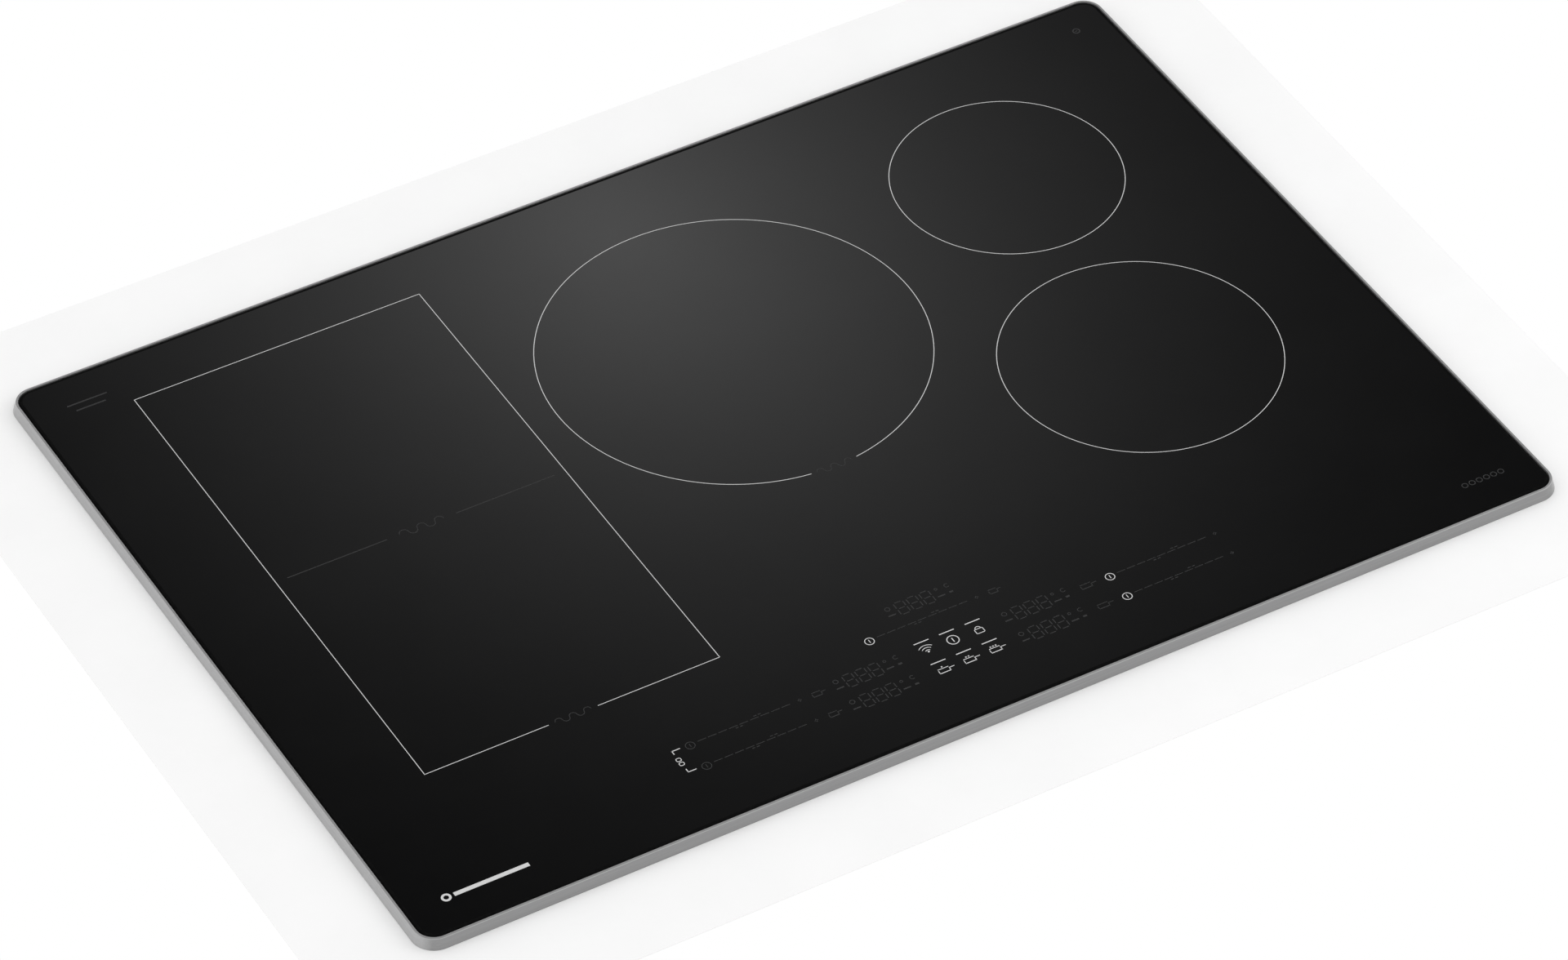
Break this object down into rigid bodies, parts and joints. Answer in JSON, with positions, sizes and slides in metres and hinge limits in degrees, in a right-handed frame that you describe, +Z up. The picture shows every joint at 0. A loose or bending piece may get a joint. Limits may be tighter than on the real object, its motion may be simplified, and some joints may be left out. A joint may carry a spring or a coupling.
{
  "type": "induction cooktop",
  "caption": "Drop-in electric induction cooktop with a metal-trimmed black glass top, a bridged left zone, round zones, touch controls and a sheet-metal burner box.",
  "frame": {"origin": "centre of the burner box's underside, below the middle of the glass", "axes": "+X to the right of somebody at the controls, +Y towards the wall behind, +Z up through the glass"},
  "size_m": [0.783, 0.5456, 0.0958],
  "materials": {
    "trim": "satin brushed, clear anodised",
    "ceramic_glass": "gloss, opaque black",
    "silicone": "satin black",
    "foam": "matt, closed cell",
    "zinc_sheet": "galvanised, fine spangle",
    "aluminium": "mill finish",
    "coil_carrier": "matt, glass-filled",
    "copper_litz": "enamelled copper strand",
    "mica": "matt, pressed flakes",
    "ceramic": "matt, fired",
    "spring_steel": "drawn wire, oiled",
    "dark_moulding": "matt, moulded",
    "pale_moulding": "satin, moulded",
    "circuit_board": "satin solder mask",
    "zinc_plated": "bright zinc plate",
    "rubber": "matt"
  },
  "bodies": {
    "cooktop_frame": {"trim_frame": "trim", "glass_top": "ceramic_glass", "glass_bonding_bead": "silicone", "worktop_seal": "foam", "burner_box": "zinc_sheet", "shield_plate_left": "aluminium", "shield_plate_right": "aluminium", "coil_spring_left_front": "spring_steel", "coil_spring_left_rear": "spring_steel", "coil_spring_centre": "spring_steel", "coil_spring_right_rear": "spring_steel", "coil_spring_right_front": "spring_steel", "touch_spring_left": "spring_steel", "touch_spring_right": "spring_steel", "electronics_tray_left": "dark_moulding", "power_board_left": "circuit_board", "heat_sink_left": "aluminium", "electronics_tray_right": "dark_moulding", "power_board_right": "circuit_board", "heat_sink_right": "aluminium", "filter_board": "circuit_board", "terminal_block": "pale_moulding", "conduit_inlet": "zinc_plated", "hold_down_bracket_left": "zinc_plated", "hold_down_bracket_right": "zinc_plated", "tie_screw_front_1": "zinc_plated", "tie_screw_front_2": "zinc_plated", "tie_screw_back_1": "zinc_plated", "tie_screw_back_2": "zinc_plated"},
    "coil_left_front": {"coil_carrier_left_front": "coil_carrier", "coil_winding_left_front": "copper_litz", "mica_sheet_left_front": "mica", "temperature_sensor_left_front": "ceramic"},
    "coil_left_rear": {"coil_carrier_left_rear": "coil_carrier", "coil_winding_left_rear": "copper_litz", "mica_sheet_left_rear": "mica", "temperature_sensor_left_rear": "ceramic"},
    "coil_centre": {"coil_carrier_centre": "coil_carrier", "coil_winding_centre": "copper_litz", "inner_winding_centre": "copper_litz", "mica_sheet_centre": "mica", "temperature_sensor_centre": "ceramic"},
    "coil_right_rear": {"coil_carrier_right_rear": "coil_carrier", "coil_winding_right_rear": "copper_litz", "mica_sheet_right_rear": "mica", "temperature_sensor_right_rear": "ceramic"},
    "coil_right_front": {"coil_carrier_right_front": "coil_carrier", "coil_winding_right_front": "copper_litz", "mica_sheet_right_front": "mica", "temperature_sensor_right_front": "ceramic"},
    "touch_control": {"touch_carrier": "dark_moulding", "touch_board": "circuit_board", "radio_module": "circuit_board"},
    "fan_left": {"fan_impeller_left": "dark_moulding"},
    "fan_right": {"fan_impeller_right": "dark_moulding"},
    "clamp_pad_left": {"clamp_pad_left": "rubber"},
    "clamp_screw_left": {"clamp_screw_left": "zinc_plated"},
    "clamp_pad_right": {"clamp_pad_right": "rubber"},
    "clamp_screw_right": {"clamp_screw_right": "zinc_plated"}
  },
  "joints": [
    {"name": "coil_left_front_float", "type": "slide", "parent": "cooktop_frame", "child": "coil_left_front", "axis": [0, 0, 1], "range_m": [-0.003, 0], "stiffness_N_per_m": 5000, "springref_m": 0.008, "deforming": ["coil_spring_left_front"]},
    {"name": "coil_left_rear_float", "type": "slide", "parent": "cooktop_frame", "child": "coil_left_rear", "axis": [0, 0, 1], "range_m": [-0.003, 0], "stiffness_N_per_m": 5000, "springref_m": 0.008, "deforming": ["coil_spring_left_rear"]},
    {"name": "coil_centre_float", "type": "slide", "parent": "cooktop_frame", "child": "coil_centre", "axis": [0, 0, 1], "range_m": [-0.003, 0], "stiffness_N_per_m": 5000, "springref_m": 0.008, "deforming": ["coil_spring_centre"]},
    {"name": "coil_right_rear_float", "type": "slide", "parent": "cooktop_frame", "child": "coil_right_rear", "axis": [0, 0, 1], "range_m": [-0.003, 0], "stiffness_N_per_m": 5000, "springref_m": 0.008, "deforming": ["coil_spring_right_rear"]},
    {"name": "coil_right_front_float", "type": "slide", "parent": "cooktop_frame", "child": "coil_right_front", "axis": [0, 0, 1], "range_m": [-0.003, 0], "stiffness_N_per_m": 5000, "springref_m": 0.008, "deforming": ["coil_spring_right_front"]},
    {"name": "touch_control_float", "type": "slide", "parent": "cooktop_frame", "child": "touch_control", "axis": [0, 0, 1], "range_m": [-0.003, 0], "stiffness_N_per_m": 2000, "springref_m": 0.008, "deforming": ["touch_spring_left", "touch_spring_right"]},
    {"name": "fan_left_spin", "type": "hinge", "parent": "cooktop_frame", "child": "fan_left", "pos_m": [-0.241, 0.16, 0.02], "axis": [0, 0, 1], "continuous": true},
    {"name": "fan_right_spin", "type": "hinge", "parent": "cooktop_frame", "child": "fan_right", "pos_m": [0.241, 0.16, 0.02], "axis": [0, 0, 1], "continuous": true},
    {"name": "clamp_pad_left_travel", "type": "slide", "parent": "cooktop_frame", "child": "clamp_pad_left", "axis": [0, 0, 1], "range_m": [-0.006, 0.014]},
    {"name": "clamp_screw_left_turn", "type": "hinge", "parent": "clamp_pad_left", "child": "clamp_screw_left", "pos_m": [-0.3835, 0, 0.03], "axis": [0, 0, 1], "range_deg": [-2160.1, 5040.1]},
    {"name": "clamp_pad_right_travel", "type": "slide", "parent": "cooktop_frame", "child": "clamp_pad_right", "axis": [0, 0, 1], "range_m": [-0.006, 0.014]},
    {"name": "clamp_screw_right_turn", "type": "hinge", "parent": "clamp_pad_right", "child": "clamp_screw_right", "pos_m": [0.3835, 0, 0.03], "axis": [0, 0, 1], "range_deg": [-2160.1, 5040.1]}
  ],
  "couplings": [
    {"joint": "clamp_screw_left_turn", "follows": "clamp_pad_left_travel", "rad_per_m": 6283.2},
    {"joint": "clamp_screw_right_turn", "follows": "clamp_pad_right_travel", "rad_per_m": 6283.2}
  ]
}
